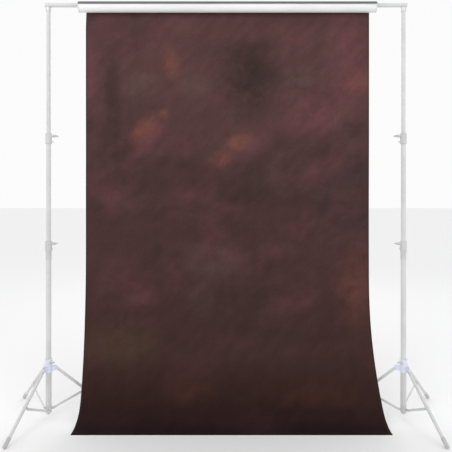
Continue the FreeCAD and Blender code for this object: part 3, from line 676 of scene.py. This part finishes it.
# Marks of the brush: colour, place across and down from the middle of the top edge, size, tilt, strength.
brushMarks = (
    ("light", (-0.47, 0.46), (0.24, 0.16), 20, 0.55),
    ("light", (-0.17, 0.47), (0.26, 0.16), -8, 0.45),
    ("light", (0.40, 0.44), (0.30, 0.18), 20, 0.5),
    ("light", (-0.02, 1.45), (0.36, 0.22), 0, 0.35),
    ("maroon", (0.66, 0.30), (0.30, 0.60), 0, 0.75),
    ("maroon", (-0.76, 0.36), (0.12, 0.50), 0, 0.6),
    ("maroon", (0.50, 0.60), (0.54, 0.30), 22, 0.6),
    ("maroon", (0.10, 0.80), (0.60, 0.16), 30, 0.4),
    ("maroon", (-0.46, 0.80), (0.09, 0.44), -42, 0.65),
    ("maroon", (-0.28, 1.06), (0.50, 0.14), 6, 0.4),
    ("maroon", (-0.05, 1.22), (0.22, 0.30), 0, 0.3),
    ("maroon", (0.26, 1.36), (0.18, 0.12), 12, 0.35),
    ("maroon", (-0.60, 1.50), (0.30, 0.30), 0, 0.25),
    ("dark", (0.11, 0.44), (0.38, 0.44), 0, 1.0),
    ("dark", (0.04, 0.27), (0.60, 0.14), 8, 0.5),
    ("dark", (-0.63, 0.55), (0.12, 0.70), 3, 0.7),
    ("dark", (-0.20, 0.90), (0.70, 0.10), -4, 0.4),
    ("dark", (-0.36, 1.06), (0.28, 0.26), 0, 0.6),
    ("dark", (-0.38, 1.38), (0.06, 0.34), 0, 0.45),
    ("dark", (0.00, 1.22), (0.15, 0.14), 0, 0.75),
    ("dark", (-0.57, 0.84), (0.24, 0.66), 0, 0.6),
    ("dark", (0.50, 0.82), (0.22, 0.24), 0, 0.65),
    ("coolDark", (0.53, 1.05), (0.15, 0.30), -6, 0.75),
    ("coolDark", (0.70, 0.93), (0.26, 0.26), 0, 0.8),
    ("coolDark", (0.66, 1.20), (0.26, 0.24), 0, 0.65),
    ("dark", (0.10, 1.68), (0.80, 0.44), 0, 0.5),
    ("dark", (0.12, 1.92), (0.42, 0.10), 0, 0.6),
    ("olive", (-0.58, 1.86), (0.44, 0.30), 0, 0.5),
    ("ember", (0.45, 2.12), (0.60, 0.16), 0, 0.5),
    ("ember", (-0.20, 2.10), (0.30, 0.12), 0, 0.6),
    ("rust", (-0.31, 0.35), (0.11, 0.20), 14, 0.6),
    ("rust", (-0.46, 0.71), (0.12, 0.21), -34, 0.85),
    ("rust", (-0.345, 0.62), (0.06, 0.07), 0, 0.6),
    ("rust", (0.06, 0.77), (0.15, 0.10), 24, 0.8),
    ("rust", (-0.04, 0.87), (0.17, 0.10), 30, 0.5),
    ("rust", (0.71, 0.45), (0.15, 0.14), 0, 0.6),
    ("rust", (0.70, 1.56), (0.24, 0.46), 0, 0.35),
)


# A soft-edged stroke: 1 in its middle, 0 at the edge of its size.
def makeStrokeGroup():
    tree, given, result = newGroup(
        "brushStroke", [("Spot", "vector"), ("Place", "vector"), ("Tilt", "vector"), ("Size", "vector")],
        [("Mask", "value")])
    away = tree.nodes.new("ShaderNodeVectorMath")
    away.operation = "SUBTRACT"
    tree.links.new(given["Spot"], away.inputs[0])
    tree.links.new(given["Place"], away.inputs[1])
    turned = tree.nodes.new("ShaderNodeVectorRotate")
    turned.rotation_type = "EULER_XYZ"
    tree.links.new(away.outputs[0], turned.inputs["Vector"])
    tree.links.new(given["Tilt"], turned.inputs["Rotation"])
    share = tree.nodes.new("ShaderNodeVectorMath")
    share.operation = "DIVIDE"
    tree.links.new(turned.outputs[0], share.inputs[0])
    tree.links.new(given["Size"], share.inputs[1])
    length = tree.nodes.new("ShaderNodeVectorMath")
    length.operation = "LENGTH"
    tree.links.new(share.outputs[0], length.inputs[0])
    tree.links.new(remap(tree, length.outputs["Value"], 0.66, 0.0), result["Mask"])
    return tree


# Threads crossing over and under, at the given number to the metre.
def makeWeaveGroup():
    tree, given, result = newGroup("weave", [("Spot", "vector"), ("Threads", "value")],
                                   [("Height", "value"), ("Slub", "value")])
    split = tree.nodes.new("ShaderNodeSeparateXYZ")
    tree.links.new(given["Spot"], split.inputs[0])
    turns = calculate(tree, "MULTIPLY", given["Threads"], math.pi)
    waves = [calculate(tree, "SINE", calculate(tree, "MULTIPLY", split.outputs[axis], turns))
             for axis in ("X", "Y")]
    crossing = calculate(tree, "MULTIPLY", waves[0], waves[1])
    tree.links.new(calculate(tree, "MULTIPLY_ADD", crossing, 0.5, 0.5), result["Height"])
    slubs = [noiseAt(tree, mapped(tree, given["Spot"], scale), 1.0, 2.0)
             for scale in paint["slubs"]]
    tree.links.new(calculate(tree, "MULTIPLY", slubs[0], slubs[1]), result["Slub"])
    return tree


# The spot moved by a soft noise, so that no tone ends in a clean line.
def strayed(tree, spot, scale, reach):
    push = addNode(tree, "ShaderNodeTexNoise", Scale=scale, Detail=3.0, Roughness=0.55)
    tree.links.new(spot, push.inputs["Vector"])
    centred = addNode(tree, "ShaderNodeVectorMath", {"operation": "SUBTRACT"})
    tree.links.new(push.outputs["Color"], centred.inputs[0])
    centred.inputs[1].default_value = (0.5, 0.5, 0.5)
    moved = addNode(tree, "ShaderNodeVectorMath", {"operation": "MULTIPLY_ADD"})
    tree.links.new(centred.outputs[0], moved.inputs[0])
    moved.inputs[1].default_value = (reach, reach, 0)
    tree.links.new(spot, moved.inputs[2])
    return moved.outputs[0]


# The ground colour down the cloth. Its darkening towards the hem is partly painted shade.
def groundColour(tree, spot, length):
    split = tree.nodes.new("ShaderNodeSeparateXYZ")
    tree.links.new(spot, split.inputs[0])
    ramp = tree.nodes.new("ShaderNodeValToRGB")
    stops = ramp.color_ramp.elements
    while len(stops) < len(paint["ground"]):
        stops.new(0.5)
    for stop, (share, colour) in zip(stops, paint["ground"]):
        stop.position = share
        stop.color = (*colour, 1)
    tree.links.new(calculate(tree, "DIVIDE", split.outputs["Y"], length), ramp.inputs[0])
    return ramp.outputs["Color"]


def makeClothPaint(line):
    material, tree, shader = newMaterial("clothPaint", paint["ground"][0][1], paint["rough"])
    uv = addNode(tree, "ShaderNodeUVMap", {"uv_map": "clothUV"})
    turnOver = mapped(tree, uv.outputs["UV"], (1, -1, 1), place=(0, 1, 0))
    spot = mapped(tree, turnOver, (line.width, line.length, 1), place=(-line.width / 2, 0, 0))
    wandering = strayed(tree, spot, *paint["wander"])
    broad = strayed(tree, spot, *paint["broadWander"])
    colour = groundColour(tree, wandering, line.length)

    # Broad washes that fade out near the hem, then the brush's marks, its streaks and the cloth's grain.
    down = tree.nodes.new("ShaderNodeSeparateXYZ")
    tree.links.new(wandering, down.inputs[0])
    fading = remap(tree, down.outputs["Y"], *paint["washFade"], 1.0, 0.15)
    for seed, name, band, amount in paint["washes"]:
        moved = mapped(tree, broad, paint["washSize"], place=(seed, 0, seed))
        wash = noiseAt(tree, moved, 1.0, 4.0, 0.5)
        share = calculate(tree, "MULTIPLY", remap(tree, wash, *band, 0, amount), fading)
        colour = mixColour(tree, share, colour, paint[name])
    stroke = makeStrokeGroup()
    ragged = remap(tree, noiseAt(tree, wandering, 18.0, 4.0, 0.6), 0.3, 0.62, 0.45, 1.0)
    for name, place, size, tilt, strength in brushMarks:
        mask = useGroup(tree, stroke, Spot=wandering, Place=(*place, 0), Tilt=(0, 0, math.radians(tilt)),
                        Size=(*size, 1))["Mask"]
        mask = calculate(tree, "MULTIPLY", calculate(tree, "MULTIPLY", mask, ragged), strength)
        colour = mixColour(tree, mask, colour, paint[name])
    colour = addStreaks(tree, spot, colour)
    threads = useGroup(tree, makeWeaveGroup(), Spot=spot, Threads=paint["threads"])
    swing = paint["slubSwing"]
    slub = remap(tree, threads["Slub"], 0.12, 0.4, 1 - swing, 1 + swing, smooth=False)
    colour = mixColour(tree, 1.0, colour, greyOf(tree, slub), "MULTIPLY")
    stitches, seam = hemStitches(tree, uv.outputs["UV"], line)
    colour = mixColour(tree, calculate(tree, "MULTIPLY", seam, paint["seamShade"]), colour,
                       paint["thread"])
    colour = mixColour(tree, edgeShade(tree, uv.outputs["UV"], line), colour, paint["edge"])
    tree.links.new(colour, shader.inputs["Base Color"])
    shader.inputs["Sheen Weight"].default_value = paint["sheen"]
    shader.inputs["Sheen Roughness"].default_value = paint["sheenRough"]
    shader.inputs["Specular IOR Level"].default_value = paint["specular"]
    height = calculate(tree, "MULTIPLY_ADD", threads["Slub"], paint["slubLift"], threads["Height"])
    height = calculate(tree, "MULTIPLY_ADD", stitches, paint["stitchLift"], height)
    addBump(tree, shader, height, 0.25, paint["relief"])
    return material


def greyOf(tree, value):
    node = tree.nodes.new("ShaderNodeCombineColor")
    for socket in node.inputs:
        tree.links.new(value, socket)
    return node.outputs["Color"]


# The brush's streaks along, down and across the cloth, and the fine grain between them.
def addStreaks(tree, spot, colour):
    bent = strayed(tree, spot, *paint["streakWander"])
    for tilt, scale, swing in paint["streaks"]:
        slanted = mapped(tree, mapped(tree, bent, turn=(0, 0, math.radians(tilt))), scale,
                         place=(scale[0], 0, scale[1]))
        streak = noiseAt(tree, slanted, 1.0, 4.0, 0.55)
        shade = remap(tree, streak, 0.25, 0.75, 1 - swing, 1 + swing, smooth=False)
        colour = mixColour(tree, 1.0, colour, greyOf(tree, shade), "MULTIPLY")
    swing = paint["grainSwing"]
    fine = noiseAt(tree, spot, paint["grain"], 4.0, 0.7)
    grain = remap(tree, fine, 0.3, 0.7, 1 - swing, 1 + swing, smooth=False)
    return mixColour(tree, 1.0, colour, greyOf(tree, grain), "MULTIPLY")


def distanceFromSide(tree, share, line):
    return calculate(tree, "MULTIPLY", calculate(tree, "PINGPONG", share, 0.5), line.width)


# The sides are darker at their turned edges.
def edgeShade(tree, uv, line):
    split = tree.nodes.new("ShaderNodeSeparateXYZ")
    tree.links.new(uv, split.inputs[0])
    away = distanceFromSide(tree, split.outputs["X"], line)
    return remap(tree, away, *paint["edgeBand"], 0, paint["edgeShade"])


# A line of stitches along the two side hems and the bottom hem: thread height, and the seam's shade.
def hemStitches(tree, uv, line):
    split = tree.nodes.new("ShaderNodeSeparateXYZ")
    tree.links.new(uv, split.inputs[0])
    fromSide = distanceFromSide(tree, split.outputs["X"], line)
    fromHem = calculate(tree, "MULTIPLY", split.outputs["Y"], line.length)
    seams = []
    threads = []
    for distance, depth, along, length in (
            (fromSide, cloth["sideHem"], split.outputs["Y"], line.length),
            (fromHem, cloth["bottomHem"], split.outputs["X"], line.width)):
        off = calculate(tree, "ABSOLUTE", calculate(tree, "SUBTRACT", distance, depth * paint["seamPlace"]))
        seam = remap(tree, off, *paint["seamLine"])
        stitch = calculate(tree, "PINGPONG", calculate(tree, "MULTIPLY", along, length), paint["stitch"])
        seams.append(seam)
        threads.append(calculate(tree, "MULTIPLY", seam, remap(tree, stitch, *paint["stitchEnds"])))
    return (calculate(tree, "MAXIMUM", threads[0], threads[1]),
            calculate(tree, "MAXIMUM", seams[0], seams[1]))


placeCamera()
print("camera placed")
buildStudio()
print("floor and lights in place")
dressNodes()
print("finishes on", len(nodes), "CAD parts")
buildCloth()
print("cloth hung")
